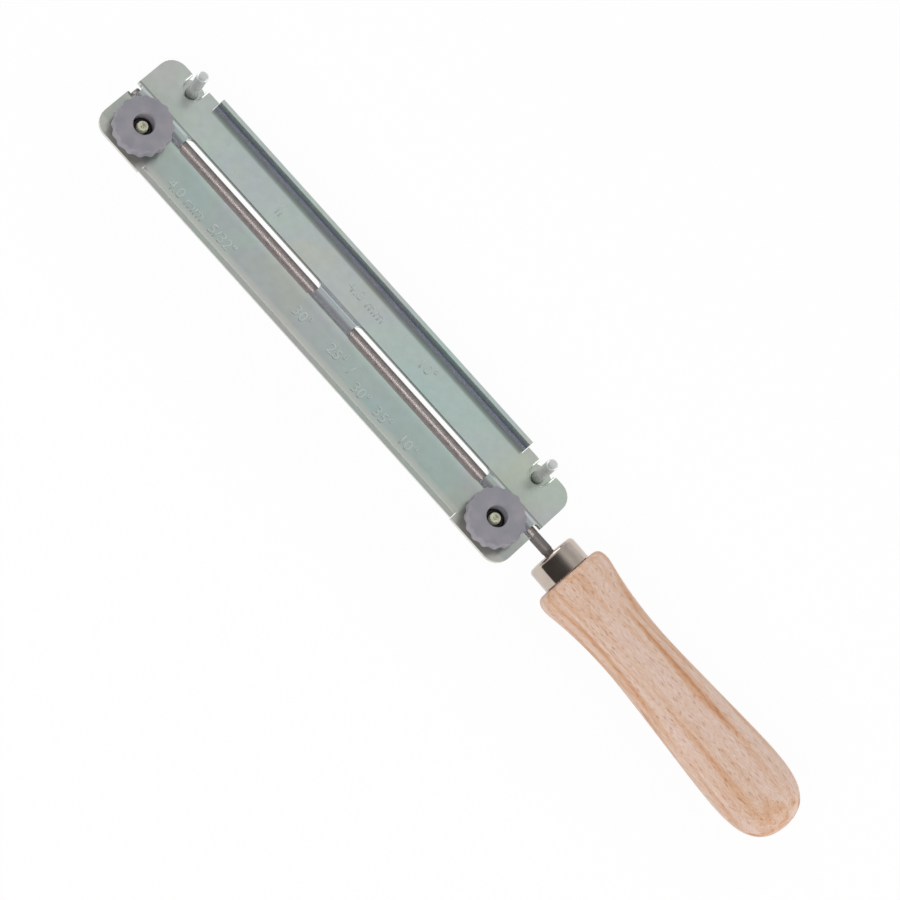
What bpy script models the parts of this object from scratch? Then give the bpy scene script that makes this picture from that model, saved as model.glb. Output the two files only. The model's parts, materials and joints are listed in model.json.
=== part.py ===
"""Chainsaw file guide: a round file with a beech handle, clamped under a folded sheet-steel guide plate.

Units are metres. +X runs along the file from its tip to the handle, +Y across the plate to the guide pins,
and +Z up out of the face that the knobs stand on. The file's axis lies over Y = 0, the middle of the tool's
length over X = 0, and the belly of the handle touches Z = 0.
"""

from math import asin, atan2, cos, pi, radians, sin, sqrt

import bmesh
import bpy
from mathutils import Matrix, Vector

# Driving dimensions of the file and its handle
file_diameter = 0.0040
file_body_length = 0.2000
file_tip_inset = 0.0010
file_tip_chamfer = 0.0004
file_to_ferrule_gap = 0.0010
tang_length = 0.0360
tang_front_width = 0.0027
tang_end_width = 0.0014
ferrule_diameter = 0.0179
ferrule_length = 0.0088
ferrule_wall = 0.0007
ferrule_edge_radius = 0.0016
ferrule_lip_width = 0.00075
handle_length = 0.1072
handle_front_step = 0.00135
handle_shoulder_diameter = 0.0270
handle_waist_diameter = 0.0219
handle_belly_diameter = 0.0270
handle_shoulder_place = 0.0045
handle_waist_place = 0.0330
handle_butt_length = 0.0212
handle_lean_degrees = 1.2

# Driving dimensions of the guide plate
sheet_thickness = 0.0015
bare_shank_length = 0.0070
plate_corner_radius = 0.0058
flange_spread = 0.0390
flange_end_inset = 0.02275
tab_inset = 0.0010
flange_rise = 0.0029
flange_lean_degrees = 6.0
flange_bend_radius = 0.0026
bend_relief_width = 0.0011
rib_foot_radius = 0.0010
rib_end_inset = 0.0003
slot_end_inset = 0.0244
slot_side_margin = 0.0001
slot_corner_radius = 0.0020
slot_bridge_length = 0.0172
end_notch_depth = 0.0026
pin_notch_shift = 0.0005
pin_notch_margin = 0.0014
pin_notch_roll_width = 0.0015
pin_notch_roll_depth = 0.0012
pin_edge_inset = 0.0034
file_part_above_cutter_share = 0.2

# Driving dimensions of the two clamps and their knobs
clamp_inset = 0.0125
clamp_turn_degrees = {"tip_end": -2.0, "handle_end": 1.0}
screw_diameter = 0.0040
screw_head_diameter = 0.0074
screw_head_height = 0.0013
screw_end_chamfer = 0.0004
bar_width = 0.0120
bar_thickness = 0.0016
bar_drop = 0.0021
bar_heel_length = 0.0020
bar_heel_overhang = 0.0055
bar_saddle_thickness = 0.0015
bar_end_overhang = 0.0040
bar_end_round_share = 0.9
pin_diameter = 0.0040
pin_rise = 0.0130
pin_head_diameter = 0.0060
pin_head_height = 0.0010
pin_end_chamfer = 0.0007
knob_diameter = 0.0202
knob_wheel_height = 0.0046
knob_scallop_depth = 0.0006
knob_edge_chamfer = 0.0005
knob_boss_diameter = 0.0125
knob_boss_height = 0.0030
knob_bore_diameter = 0.0072
knob_floor_thickness = 0.0009
knob_nut_height = 0.0025
screw_end_recess = 0.0026

# Clearances
seat_gap = 0.0003
turning_gap = 0.00015
hole_gap = 0.0004
boss_rib_gap = 0.0001
cut_overrun = 0.0020
same_place = 0.00001

# Counts
round_steps = 32
handle_steps = 40
curve_steps = 8
corner_steps = 6
rim_steps = 3
knob_scallops = 16
points_per_scallop = 6

# Heights, all from the file's axis, which the handle's belly holds over the ground
file_radius = file_diameter / 2
axis_height = max(handle_belly_diameter, handle_shoulder_diameter) / 2
underside_z = axis_height + file_radius - file_part_above_cutter_share * file_diameter
top_z = underside_z + sheet_thickness

# The rib's outer radius, and how far its crown and its feet reach out at the plate's face
rib_radius = file_radius + seat_gap + sheet_thickness
rib_face_rise = top_z - axis_height
rib_crown_half_width = sqrt(rib_radius**2 - rib_face_rise**2)
rib_half_width = sqrt((rib_radius + rib_foot_radius) ** 2 - (rib_face_rise + rib_foot_radius) ** 2)

# Lengths and widths that follow from the file, the flanges, the rib and the knobs
plate_length = file_tip_inset + file_body_length - bare_shank_length
plate_width = flange_spread - 2 * tab_inset
flange_length = plate_length - 2 * flange_end_inset
slot_length = (plate_length - slot_bridge_length) / 2 - slot_end_inset
slot_width = 2 * (rib_half_width + slot_side_margin)
screw_offset = rib_crown_half_width + knob_boss_diameter / 2 + boss_rib_gap
pin_offset = plate_width / 2 - pin_edge_inset
handle_front_diameter = ferrule_diameter + 2 * handle_front_step
handle_belly_place = handle_length - handle_butt_length

# Places along the tool
tool_length = file_tip_inset + file_body_length + file_to_ferrule_gap + ferrule_length + handle_length
plate_start_x = -tool_length / 2
plate_middle_x = plate_start_x + plate_length / 2
file_tip_x = plate_start_x + file_tip_inset
file_shoulder_x = file_tip_x + file_body_length
ferrule_x = file_shoulder_x + file_to_ferrule_gap
handle_x = ferrule_x + ferrule_length
end_signs = {"tip_end": -1, "handle_end": 1}


def clear_scene():
    """Removes whatever the scene holds, so that the part starts alone."""
    for old in list(bpy.data.objects):
        bpy.data.objects.remove(old, do_unlink=True)


def make_material(name, colour, roughness, metallic):
    """A Principled material; the colour is linear red, green and blue."""
    material = bpy.data.materials.new(name)
    material.use_nodes = True
    shader = material.node_tree.nodes["Principled BSDF"]
    shader.inputs["Base Color"].default_value = (*colour, 1.0)
    shader.inputs["Roughness"].default_value = roughness
    shader.inputs["Metallic"].default_value = metallic
    return material


def make_object(name, mesh_maker, material=None):
    """An object in the scene from a bmesh, which is used up."""
    mesh = bpy.data.meshes.new(name)
    mesh_maker.to_mesh(mesh)
    mesh_maker.free()
    obj = bpy.data.objects.new(name, mesh)
    bpy.context.collection.objects.link(obj)
    if material:
        mesh.materials.append(material)
    return obj


def shade_round(obj):
    """Smooth shading that keeps the real edges sharp."""
    obj.data.shade_smooth()
    obj.data.set_sharp_from_angle(angle=radians(35))


def add_boolean(obj, operation, other):
    """Joins another object to this one, or cuts it away, with the exact solver."""
    modifier = obj.modifiers.new(operation.lower(), "BOOLEAN")
    modifier.operation = operation
    modifier.solver = "EXACT"
    modifier.object = other
    other.hide_render = True
    other.display_type = "WIRE"


def finish_cuts(obj):
    """Fixes the modifiers into the mesh, then deletes the shapes that they used."""
    used = [modifier.object for modifier in obj.modifiers if modifier.type == "BOOLEAN"]
    graph = bpy.context.evaluated_depsgraph_get()
    finished = bpy.data.meshes.new_from_object(obj.evaluated_get(graph), depsgraph=graph)
    obj.modifiers.clear()
    obj.data = finished
    for other in used:
        bpy.data.objects.remove(other, do_unlink=True)


def turned_shape(profile, steps, axis, sides_phase=0.0):
    """A turned solid: the profile's (along, radius) points spun a full turn round X or Z.

    A profile that starts and ends on the axis makes a full solid; any other is closed into a ring.
    """
    maker = bmesh.new()
    across = Vector((0, 0, 1)) if axis == "X" else Vector((1, 0, 0))
    along = Vector((1, 0, 0)) if axis == "X" else Vector((0, 0, 1))
    turn = Matrix.Rotation(sides_phase, 3, along)
    corners = [maker.verts.new(turn @ (along * place + across * radius)) for place, radius in profile]
    edges = [maker.edges.new(pair) for pair in zip(corners, corners[1:])]
    starts_on_axis = profile[0][1] == 0 and profile[-1][1] == 0
    if not starts_on_axis:
        edges.append(maker.edges.new((corners[-1], corners[0])))
    bmesh.ops.spin(
        maker, geom=corners + edges, cent=(0, 0, 0), axis=along, angle=2 * pi, steps=steps, use_merge=True
    )
    bmesh.ops.remove_doubles(maker, verts=maker.verts, dist=same_place)
    bmesh.ops.recalc_face_normals(maker, faces=maker.faces)
    return maker


def prism(outline, direction):
    """A straight-sided solid: an outline of 3-D points pushed along a direction."""
    maker = bmesh.new()
    face = maker.faces.new([maker.verts.new(point) for point in outline])
    pushed = bmesh.ops.extrude_face_region(maker, geom=[face])["geom"]
    moved = [item for item in pushed if isinstance(item, bmesh.types.BMVert)]
    bmesh.ops.translate(maker, verts=moved, vec=direction)
    bmesh.ops.recalc_face_normals(maker, faces=maker.faces)
    return maker


def arc(centre, radius, start, end, steps):
    """Points on a circle's arc as (first, second) pairs, both ends included; angles in radians."""
    turns = [start + (end - start) * step / steps for step in range(steps + 1)]
    return [(centre[0] + radius * cos(turn), centre[1] + radius * sin(turn)) for turn in turns]


def bezier(start, start_pull, end_pull, end, steps):
    """Points on a cubic curve after its start, the end included."""
    points = []
    for step in range(1, steps + 1):
        t = step / steps
        shares = ((1 - t) ** 3, 3 * t * (1 - t) ** 2, 3 * t * t * (1 - t), t**3)
        corners = (start, start_pull, end_pull, end)
        points.append(tuple(sum(s * c[i] for s, c in zip(shares, corners)) for i in range(2)))
    return points


def move(maker, *place):
    """Moves every vertex of a bmesh and gives it back."""
    bmesh.ops.translate(maker, verts=maker.verts, vec=Vector(place))
    return maker


def merge(maker, other):
    """Adds a second bmesh to the first, which is used for cutters that hold several shapes."""
    holder = bpy.data.meshes.new("holder")
    other.to_mesh(holder)
    other.free()
    maker.from_mesh(holder)
    bpy.data.meshes.remove(holder)


# Guide plate


def flange_section():
    """Flat half width of the sheet, and the straight length and angle of its folded edge."""
    fold = radians(90 - flange_lean_degrees)
    lip_y = flange_spread / 2 - sheet_thickness * sin(fold)
    lip_rise = flange_rise + sheet_thickness * cos(fold)
    straight = (lip_rise - flange_bend_radius * (1 - cos(fold))) / sin(fold)
    flat_half_width = lip_y - flange_bend_radius * sin(fold) - straight * cos(fold)
    return flat_half_width, straight, fold


def folded_sheet():
    """The blank's upper face: two tabs joined by a web, whose long edges are then folded up.

    The face is scored across at the flanges' ends and along beside the slots, so that each of the two long
    lands that slide on the saw chain stays one plain rectangle.
    """
    flat_half_width, straight, fold = flange_section()
    flange_half = flange_length / 2
    tab_start = flange_half + bend_relief_width
    half_length = plate_length / 2
    half_width = plate_width / 2
    corner = (half_length - plate_corner_radius, half_width - plate_corner_radius)
    quarter = [(flange_half, flat_half_width), (tab_start, flat_half_width), (tab_start, half_width)]
    quarter += arc(corner, plate_corner_radius, pi / 2, 0, corner_steps)
    right = quarter + [(x, -y) for x, y in reversed(quarter)]
    outline = right + [(-x, y) for x, y in reversed(right)]
    maker = bmesh.new()
    corners = [maker.verts.new((plate_middle_x + x, y, top_z)) for x, y in outline]
    maker.faces.new(corners)
    land_y = slot_width / 2 + seat_gap
    scores = []
    for side in (1, -1):
        scores.append(((plate_middle_x + side * flange_half, 0, 0), (1, 0, 0)))
        scores.append(((0, side * land_y, 0), (0, 1, 0)))
    for place, across in scores:
        sheet = maker.verts[:] + maker.edges[:] + maker.faces[:]
        bmesh.ops.bisect_plane(maker, geom=sheet, dist=same_place, plane_co=place, plane_no=across)
    for side in (1, -1):
        ends = [
            corner
            for corner in corners
            if abs(corner.co.y - side * flat_half_width) < same_place
            and abs(corner.co.x - plate_middle_x) < flange_half + same_place
        ]
        edge = maker.edges.get(ends)
        bend_centre = (0, side * flat_half_width, top_z + flange_bend_radius)
        bent = bmesh.ops.spin(
            maker,
            geom=[*ends, edge],
            cent=bend_centre,
            axis=(1, 0, 0),
            angle=side * fold,
            steps=curve_steps,
        )["geom_last"]
        last_edges = [item for item in bent if isinstance(item, bmesh.types.BMEdge)]
        lip = bmesh.ops.extrude_edge_only(maker, edges=last_edges)["geom"]
        lip_corners = [item for item in lip if isinstance(item, bmesh.types.BMVert)]
        slope = Vector((0, side * cos(fold), sin(fold))) * straight
        bmesh.ops.translate(maker, verts=lip_corners, vec=slope)
    bmesh.ops.recalc_face_normals(maker, faces=maker.faces)
    widest = max(maker.faces, key=lambda face: face.calc_area())
    if widest.normal.z < 0:
        bmesh.ops.reverse_faces(maker, faces=maker.faces)
    return maker


def rib_shape():
    """The half-round rib pressed up along the sheet, one sheet thickness over the file's groove."""
    foot_rise = rib_face_rise + rib_foot_radius
    meeting = atan2(foot_rise, rib_half_width)
    foot = arc((rib_half_width, foot_rise), rib_foot_radius, -pi / 2, meeting - pi, curve_steps // 2)
    crown = arc((0, 0), rib_radius, meeting, pi - meeting, curve_steps)[1:-1]
    root = rib_face_rise - sheet_thickness / 2
    half = [(rib_half_width, root)] + foot
    section = half + crown + [(-y, z) for y, z in reversed(half)]
    length = plate_length - 2 * rib_end_inset
    start = plate_start_x + rib_end_inset
    return prism([(start, y, axis_height + z) for y, z in section], (length, 0, 0))


def groove_cutter():
    """The half-round groove under the rib, which seats the file."""
    start = plate_start_x - cut_overrun
    end = plate_start_x + plate_length + cut_overrun
    radius = file_radius + seat_gap
    profile = [(start, 0), (start, radius), (end, radius), (end, 0)]
    return move(turned_shape(profile, round_steps, "X"), 0, 0, axis_height)


def rounded_box(low, high, corner_radius):
    """An upright cutter with rounded corners, through the sheet and the rib."""
    corners = [(high[0], high[1], 0), (low[0], high[1], 1), (low[0], low[1], 2), (high[0], low[1], 3)]
    outline = []
    for x, y, quarter in corners:
        centre_x = x - corner_radius if quarter in (0, 3) else x + corner_radius
        centre_y = y - corner_radius if quarter in (0, 1) else y + corner_radius
        start = quarter * pi / 2
        outline += arc((centre_x, centre_y), corner_radius, start, start + pi / 2, corner_steps)
    bottom = underside_z - cut_overrun
    height = axis_height + rib_radius + cut_overrun - bottom
    return prism([(x, y, bottom) for x, y in outline], (0, 0, height))


def pin_notch_cutter(middle_x):
    """U-shaped cutter, open at the plate's edge, that spreads at the top into the notch's rolled rim."""
    half = pin_diameter / 2 + pin_notch_margin
    open_end = plate_width / 2 + cut_overrun
    levels = [(underside_z - cut_overrun, half)]
    for step in range(rim_steps + 1):
        turn = pi / 2 * step / rim_steps
        spread = pin_notch_roll_width * (1 - cos(turn))
        levels.append((top_z - pin_notch_roll_depth * (1 - sin(turn)), half + spread))
    levels.append((top_z + cut_overrun, half + pin_notch_roll_width))
    maker = bmesh.new()
    loops = []
    for height, radius in levels:
        outline = [(middle_x + x, pin_offset + y) for x, y in arc((0, 0), radius, -pi, 0, 2 * curve_steps)]
        outline = [(outline[0][0], open_end), *outline, (outline[-1][0], open_end)]
        corners = [maker.verts.new((x, y, height)) for x, y in outline]
        pairs = zip(corners, corners[1:] + corners[:1])
        loops.append((corners, [maker.edges.new(pair) for pair in pairs]))
    for (_, lower), (_, upper) in zip(loops, loops[1:]):
        bmesh.ops.bridge_loops(maker, edges=lower + upper)
    maker.faces.new(loops[0][0])
    maker.faces.new(loops[-1][0])
    bmesh.ops.recalc_face_normals(maker, faces=maker.faces)
    return maker


def plate_cutters():
    """Sight slots, screw holes, pin notches and the mouths at both ends of the groove."""
    cutters = bmesh.new()
    full_round_share = 0.999
    mouth_round_share = 0.5
    for sign in end_signs.values():
        near = plate_middle_x + sign * slot_bridge_length / 2
        far = near + sign * slot_length
        low = (min(near, far), -slot_width / 2)
        high = (max(near, far), slot_width / 2)
        merge(cutters, rounded_box(low, high, slot_corner_radius))
        clamp_x = clamp_place(sign)
        hole = screw_diameter / 2 + hole_gap
        low = (clamp_x - hole, -screw_offset - hole)
        high = (clamp_x + hole, -screw_offset + hole)
        merge(cutters, rounded_box(low, high, full_round_share * hole))
        merge(cutters, pin_notch_cutter(clamp_x - sign * pin_notch_shift))
        mouth = file_radius + seat_gap
        edge = plate_middle_x + sign * plate_length / 2
        inner = edge - sign * end_notch_depth
        outer = edge + sign * (mouth + cut_overrun)
        low = (min(inner, outer), -mouth)
        high = (max(inner, outer), mouth)
        merge(cutters, rounded_box(low, high, mouth_round_share * mouth))
    return cutters


def clamp_place(sign):
    """Where the clamp at one end crosses the plate."""
    return plate_middle_x + sign * (plate_length / 2 - clamp_inset)


def make_guide_plate(material):
    plate = make_object("guide_plate", folded_sheet(), material)
    sheet = plate.modifiers.new("sheet", "SOLIDIFY")
    sheet.thickness = sheet_thickness
    sheet.offset = -1
    sheet.use_even_offset = True
    add_boolean(plate, "UNION", make_object("rib", rib_shape()))
    add_boolean(plate, "DIFFERENCE", make_object("groove", groove_cutter()))
    add_boolean(plate, "DIFFERENCE", make_object("plate_cuts", plate_cutters()))
    finish_cuts(plate)
    shade_round(plate)


# File, ferrule and handle


def lean_with_handle(maker):
    """Turns a piece by the small angle at which the tang, and so the handle, stands off the file's line."""
    pivot = Vector((file_shoulder_x, 0, axis_height))
    turn = Matrix.Rotation(radians(-handle_lean_degrees), 3, "Z")
    bmesh.ops.rotate(maker, verts=maker.verts, cent=pivot, matrix=turn)
    return maker


def make_round_file(material):
    tip_radius = file_radius - file_tip_chamfer
    profile = [
        (file_tip_x, 0),
        (file_tip_x, tip_radius),
        (file_tip_x + file_tip_chamfer, file_radius),
        (file_shoulder_x - file_tip_chamfer, file_radius),
        (file_shoulder_x, tip_radius),
        (file_shoulder_x, 0),
    ]
    body = make_object("round_file", move(turned_shape(profile, round_steps, "X"), 0, 0, axis_height), material)
    corner_share = 1 / cos(pi / 4)
    front = tang_front_width / 2 * corner_share
    end = tang_end_width / 2 * corner_share
    start_x = file_shoulder_x - tang_front_width
    end_x = file_shoulder_x + tang_length
    tang_profile = [(start_x, 0), (start_x, front), (end_x, end), (end_x, 0)]
    tang = move(turned_shape(tang_profile, 4, "X", sides_phase=pi / 4), 0, 0, axis_height)
    add_boolean(body, "UNION", make_object("tang", lean_with_handle(tang)))
    finish_cuts(body)
    shade_round(body)


def make_ferrule(material):
    outer = ferrule_diameter / 2
    mouth = outer - ferrule_edge_radius - ferrule_lip_width
    inner = outer - ferrule_wall
    end = ferrule_x + ferrule_length - seat_gap
    edge_centre = (ferrule_x + ferrule_edge_radius, outer - ferrule_edge_radius)
    inside_radius = ferrule_edge_radius - ferrule_wall
    profile = [(end, inner), (end, outer)]
    profile += arc(edge_centre, ferrule_edge_radius, pi / 2, pi, corner_steps)
    profile += [(ferrule_x, mouth), (ferrule_x + ferrule_wall, mouth)]
    profile += arc(edge_centre, inside_radius, pi, pi / 2, corner_steps)
    ferrule = move(turned_shape(profile, handle_steps, "X"), 0, 0, axis_height)
    shade_round(make_object("ferrule", lean_with_handle(ferrule), material))


def handle_outline():
    """Half outline of the turned handle after its front face, from the shoulder to the butt."""
    front = handle_front_diameter / 2
    shoulder = handle_shoulder_diameter / 2
    waist = handle_waist_diameter / 2
    belly = handle_belly_diameter / 2
    round_over = shoulder - front
    shoulder_end = (handle_shoulder_place, shoulder)
    waist_end = (handle_waist_place, waist)
    belly_end = (handle_belly_place, belly)
    neck_run = handle_waist_place - handle_shoulder_place
    grip_run = handle_belly_place - handle_waist_place
    butt_run = handle_length - handle_belly_place
    shoulder_pull_shares = (0.75, 0.33)
    neck_pull_shares = (0.08, 0.62)
    grip_pull_shares = (0.22, 0.19)
    butt_pull_shares = (0.44, 0.96)
    points = [(0, front)]
    points += bezier(
        (0, front),
        (0, front + shoulder_pull_shares[0] * round_over),
        (shoulder_pull_shares[1] * handle_shoulder_place, shoulder),
        shoulder_end,
        corner_steps,
    )
    points += bezier(
        shoulder_end,
        (handle_shoulder_place + neck_pull_shares[0] * neck_run, shoulder),
        (handle_waist_place - neck_pull_shares[1] * neck_run, waist),
        waist_end,
        curve_steps,
    )
    points += bezier(
        waist_end,
        (handle_waist_place + grip_pull_shares[0] * grip_run, waist),
        (handle_belly_place - grip_pull_shares[1] * grip_run, belly),
        belly_end,
        curve_steps,
    )
    points += bezier(
        belly_end,
        (handle_belly_place + butt_pull_shares[0] * butt_run, belly),
        (handle_length, butt_pull_shares[1] * belly),
        (handle_length, 0),
        curve_steps + corner_steps,
    )
    return points


def make_handle(material):
    """Beech handle: a turned grip with a spigot for the ferrule and a tapered hole for the tang."""
    spigot = ferrule_diameter / 2 - ferrule_wall - seat_gap
    spigot_x = ferrule_x + ferrule_wall + seat_gap
    spigot_edge = spigot - (ferrule_edge_radius - ferrule_wall)
    spigot_edge_x = spigot_x + ferrule_edge_radius - ferrule_wall
    corner_share = 1 / cos(pi / 4)
    hole_front = tang_front_width / 2 * corner_share + seat_gap
    hole_end = tang_end_width / 2 * corner_share + seat_gap
    hole_end_x = file_shoulder_x + tang_length + seat_gap
    profile = [(hole_end_x, 0), (hole_end_x, hole_end), (spigot_x, hole_front)]
    profile += [(spigot_x, spigot_edge), (spigot_edge_x, spigot), (handle_x, spigot)]
    profile += [(handle_x + place, radius) for place, radius in handle_outline()]
    profile[-1] = (handle_x + handle_length, 0)
    handle = move(turned_shape(profile, handle_steps, "X"), 0, 0, axis_height)
    shade_round(make_object("handle", lean_with_handle(handle), material))


# Clamps


def clamp_frame(end_name, sign):
    """Empty at a knob's axis on the plate's face, which carries the pieces of that clamp.

    It stands a little turned, as far as the pin's play in its notch allows.
    """
    frame = bpy.data.objects.new(f"{end_name}_clamp_frame", None)
    frame.location = (clamp_place(sign), -screw_offset, top_z)
    frame.rotation_euler = (0, 0, radians(clamp_turn_degrees[end_name]))
    bpy.context.collection.objects.link(frame)
    return frame


def on_frame(frame, obj, height=0.0, across=0.0):
    """Seats a piece on a clamp's frame, at its own height and distance across the plate."""
    obj.parent = frame
    obj.location = (0, across, height)


def bar_section():
    """Side view of the clamp bar, from the screw's axis: a strap with a heel and a saddle for the file."""
    axis_z = axis_height - top_z
    upper = -sheet_thickness - bar_drop
    lower = upper - bar_thickness
    heel_top = -sheet_thickness - seat_gap
    heel_start = -bar_heel_overhang - bar_heel_length
    end = screw_offset + pin_offset + bar_end_overhang
    saddle = file_radius + seat_gap
    bulge = saddle + bar_saddle_thickness
    mouth = asin((axis_z - upper) / saddle)
    swell = asin(min((axis_z - lower) / bulge, 1))
    section = [(heel_start, lower), (heel_start, heel_top), (-bar_heel_overhang, heel_top)]
    section += [(-bar_heel_overhang, upper)]
    section += arc((screw_offset, axis_z), saddle, pi + mouth, 2 * pi - mouth, curve_steps)
    section += [(end, upper), (end, lower)]
    section += arc((screw_offset, axis_z), bulge, 2 * pi - swell, pi + swell, curve_steps)
    return section


def make_clamp_bar(end_name, frame, material):
    half = bar_width / 2
    outline = [(-half, y, z) for y, z in bar_section()]
    maker = prism(outline, (bar_width, 0, 0))
    end_y = max(point[1] for point in outline)
    end_edges = [
        edge
        for edge in maker.edges
        if all(abs(corner.co.y - end_y) < same_place for corner in edge.verts)
        and abs(edge.verts[0].co.x - edge.verts[1].co.x) < same_place
    ]
    bmesh.ops.bevel(
        maker,
        geom=end_edges,
        offset=bar_end_round_share * half,
        segments=corner_steps,
        profile=0.5,
        affect="EDGES",
        offset_type="OFFSET",
        material=-1,
    )
    bar = make_object(f"{end_name}_clamp_bar", maker, material)
    bottom = min(point[2] for point in outline) - cut_overrun
    above = -sheet_thickness
    holes = bmesh.new()
    for y, diameter in ((0, screw_diameter), (screw_offset + pin_offset, pin_diameter)):
        radius = diameter / 2 + turning_gap
        profile = [(bottom, 0), (bottom, radius), (above, radius), (above, 0)]
        merge(holes, move(turned_shape(profile, round_steps, "Z"), 0, y, 0))
    cutter = make_object(f"{end_name}_bar_holes", holes)
    add_boolean(bar, "DIFFERENCE", cutter)
    finish_cuts(bar)
    shade_round(bar)
    on_frame(frame, bar)


def bar_underside():
    """Height of the clamp bar's flat underside below the plate's face."""
    return -sheet_thickness - bar_drop - bar_thickness


def make_clamp_screw(end_name, frame, material):
    """Clamp screw with its head under the bar; the end shows in the knob's bore."""
    radius = screw_diameter / 2
    head = screw_head_diameter / 2
    head_top = bar_underside() - seat_gap
    head_bottom = head_top - screw_head_height
    head_edge = screw_head_height / 2
    end = knob_top() - screw_end_recess
    profile = [(head_bottom, 0), (head_bottom, head - head_edge), (head_bottom + head_edge, head)]
    profile += [(head_top, head), (head_top, radius), (end - screw_end_chamfer, radius)]
    profile += [(end, radius - screw_end_chamfer), (end, 0)]
    screw = make_object(f"{end_name}_clamp_screw", turned_shape(profile, round_steps, "Z"), material)
    shade_round(screw)
    on_frame(frame, screw)


def make_guide_pin(end_name, frame, material):
    """Pin at the far end of the bar, which stands up through the notch in the plate's edge."""
    radius = pin_diameter / 2
    head = pin_head_diameter / 2
    head_top = bar_underside() - seat_gap
    head_bottom = head_top - pin_head_height
    profile = [(head_bottom, 0), (head_bottom, head), (head_top, head), (head_top, radius)]
    profile += [(pin_rise - pin_end_chamfer, radius), (pin_rise, radius - pin_end_chamfer), (pin_rise, 0)]
    pin = make_object(f"{end_name}_guide_pin", turned_shape(profile, round_steps, "Z"), material)
    shade_round(pin)
    on_frame(frame, pin, across=screw_offset + pin_offset)


# Knobs


def knob_top():
    """Height of the knob's upper face above the plate."""
    return seat_gap + knob_boss_height + knob_wheel_height


def scalloped_ring(radius):
    """Outline of the knob's wheel, with shallow finger scallops, as angle and radius pairs."""
    count = knob_scallops * points_per_scallop
    ring = []
    for step in range(count):
        turn = 2 * pi * step / count
        dip = knob_scallop_depth * (1 - cos(knob_scallops * turn)) / 2
        ring.append((turn, radius - dip))
    return ring


def wheel_shape():
    """The knob's wheel: the scalloped outline drawn up in four rings, chamfered at both edges."""
    maker = bmesh.new()
    bottom = seat_gap + knob_boss_height
    levels = [
        (bottom, knob_edge_chamfer),
        (bottom + knob_edge_chamfer, 0),
        (knob_top() - knob_edge_chamfer, 0),
        (knob_top(), knob_edge_chamfer),
    ]
    loops = []
    for height, inset in levels:
        ring = scalloped_ring(knob_diameter / 2 - inset)
        corners = [maker.verts.new((radius * cos(turn), radius * sin(turn), height)) for turn, radius in ring]
        pairs = zip(corners, corners[1:] + corners[:1])
        loops.append((corners, [maker.edges.new(pair) for pair in pairs]))
    for (_, lower), (_, upper) in zip(loops, loops[1:]):
        bmesh.ops.bridge_loops(maker, edges=lower + upper)
    maker.faces.new(loops[0][0])
    maker.faces.new(loops[-1][0])
    bmesh.ops.recalc_face_normals(maker, faces=maker.faces)
    return maker


def make_knob(end_name, frame, material):
    """Moulded knob: a scalloped wheel on a smaller boss, bored from above for its nut."""
    knob = make_object(f"{end_name}_knob", wheel_shape(), material)
    boss = knob_boss_diameter / 2
    boss_top = seat_gap + knob_boss_height + knob_wheel_height / 2
    boss_profile = [(seat_gap, 0), (seat_gap, boss), (boss_top, boss), (boss_top, 0)]
    boss_object = make_object(f"{end_name}_boss", turned_shape(boss_profile, round_steps, "Z"))
    bore = knob_bore_diameter / 2
    hole = screw_diameter / 2 + hole_gap
    floor = seat_gap + knob_floor_thickness
    mouth = bore + knob_edge_chamfer
    bore_profile = [
        (seat_gap - cut_overrun, 0),
        (seat_gap - cut_overrun, hole),
        (floor, hole),
        (floor, bore),
        (knob_top() - knob_edge_chamfer, bore),
        (knob_top(), mouth),
        (knob_top() + cut_overrun, mouth),
        (knob_top() + cut_overrun, 0),
    ]
    bore_object = make_object(f"{end_name}_bore", turned_shape(bore_profile, round_steps, "Z"))
    add_boolean(knob, "UNION", boss_object)
    add_boolean(knob, "DIFFERENCE", bore_object)
    finish_cuts(knob)
    shade_round(knob)
    on_frame(frame, knob)


def make_knob_nut(end_name, frame, material):
    """Threaded metal insert at the bottom of the knob's bore."""
    outer = knob_bore_diameter / 2 - seat_gap
    inner = screw_diameter / 2 + turning_gap
    bottom = seat_gap + knob_floor_thickness + seat_gap
    top = bottom + knob_nut_height
    edge = knob_edge_chamfer / 2
    profile = [(bottom, inner), (bottom, outer), (top - edge, outer), (top, outer - edge), (top, inner)]
    nut = make_object(f"{end_name}_knob_nut", turned_shape(profile, round_steps, "Z"), material)
    shade_round(nut)
    on_frame(frame, nut)


def main():
    clear_scene()
    zinc = make_material("zinc_plated_steel", (0.38, 0.44, 0.42), 0.34, 1.0)
    bright = make_material("bright_zinc_steel", (0.60, 0.60, 0.60), 0.25, 1.0)
    yellow = make_material("yellow_zinc_steel", (0.62, 0.60, 0.38), 0.30, 1.0)
    file_steel = make_material("file_steel", (0.36, 0.33, 0.33), 0.30, 1.0)
    nickel = make_material("nickel_plated_steel", (0.66, 0.62, 0.60), 0.15, 1.0)
    beech = make_material("turned_beech", (0.66, 0.44, 0.31), 0.55, 0.0)
    plastic = make_material("moulded_grey_plastic", (0.27, 0.26, 0.29), 0.50, 0.0)
    make_guide_plate(zinc)
    make_round_file(file_steel)
    make_ferrule(nickel)
    make_handle(beech)
    for end_name, sign in end_signs.items():
        frame = clamp_frame(end_name, sign)
        make_clamp_bar(end_name, frame, zinc)
        make_clamp_screw(end_name, frame, yellow)
        make_guide_pin(end_name, frame, bright)
        make_knob(end_name, frame, plastic)
        make_knob_nut(end_name, frame, bright)


main()
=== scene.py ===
# %% [markdown]
# # A chainsaw file guide
#
# A round file with a turned beech handle lies in the groove of a folded steel plate. Two clamp bars under the
# plate press the file up into its groove, and two knobs on top pull the bars tight.
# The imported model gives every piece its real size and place. This script gives each piece its edges, its fine
# shape and its finish, so it starts by loading that model as a frame that stays fixed.

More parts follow.
